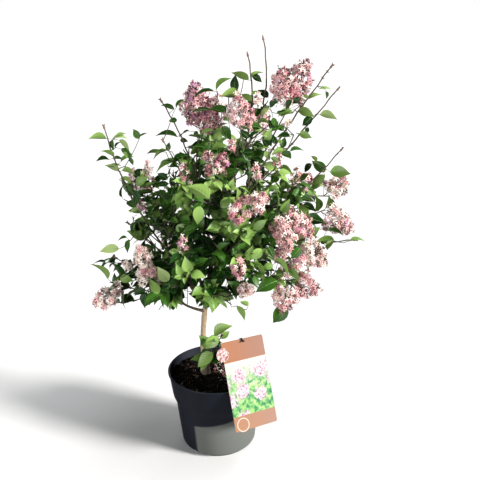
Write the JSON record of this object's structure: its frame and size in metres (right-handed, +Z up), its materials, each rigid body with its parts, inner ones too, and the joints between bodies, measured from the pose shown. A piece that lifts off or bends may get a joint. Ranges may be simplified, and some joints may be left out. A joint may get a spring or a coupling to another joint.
{
  "type": "potted lilac bush",
  "caption": "Small flowering lilac bush on a short trunk, in a round plastic nursery pot filled with compost, with a picture label on a stake.",
  "frame": {"origin": "centre of the pot's flat underside, which stands on the floor", "axes": "+Z up; -Y towards the plant's front, where the label hangs over the pot's rim; +X to the right seen from the front"},
  "size_m": [0.4721, 0.3794, 0.7691],
  "materials": {
    "pot": "satin",
    "compost": "matte",
    "bark": "matte",
    "foliage": "satin",
    "label": "satin",
    "stake": "satin"
  },
  "bodies": {
    "root": {"pot": "pot", "soil": "compost", "label_card": "label", "label_stake": "stake", "trunk": "bark", "bough_back": "bark", "bough_back_left": "bark", "bough_back_right": "bark", "bough_front": "bark", "bough_left": "bark", "bough_left_front": "bark", "bough_low_front": "bark", "bough_low_left": "bark", "bough_low_right": "bark", "bough_right": "bark", "bough_right_upper": "bark", "bough_top_left": "bark", "bough_top_right": "bark", "basal_shoot": "foliage", "foliage_back": "foliage", "foliage_back_left": "foliage", "foliage_back_low_left": "foliage", "foliage_back_low_right": "foliage", "foliage_back_middle": "foliage", "foliage_back_right": "foliage", "foliage_back_upper": "foliage", "foliage_front": "foliage", "foliage_front_left": "foliage", "foliage_front_low": "foliage", "foliage_front_right": "foliage", "foliage_inner_front": "foliage", "foliage_inner_left": "foliage", "foliage_inner_right": "foliage", "foliage_left": "foliage", "foliage_left_front": "foliage", "foliage_left_lower": "foliage", "foliage_left_side": "foliage", "foliage_low_front": "foliage", "foliage_low_left": "foliage", "foliage_low_middle": "foliage", "foliage_low_right": "foliage", "foliage_right": "foliage", "foliage_right_inner": "foliage", "foliage_right_low": "foliage", "foliage_right_upper": "foliage", "foliage_top_left": "foliage", "foliage_top_middle": "foliage", "foliage_top_right": "foliage", "foliage_upper_front": "foliage", "foliage_upper_left": "foliage", "foliage_upper_middle": "foliage", "foliage_upper_right": "foliage", "shoot_far_left": "foliage", "shoot_far_right": "foliage", "shoot_right": "foliage", "shoot_top": "foliage", "shoot_top_inner": "foliage", "shoot_top_left": "foliage", "shoot_top_right": "foliage", "shoot_upper_right": "foliage"}
  },
  "joints": []
}
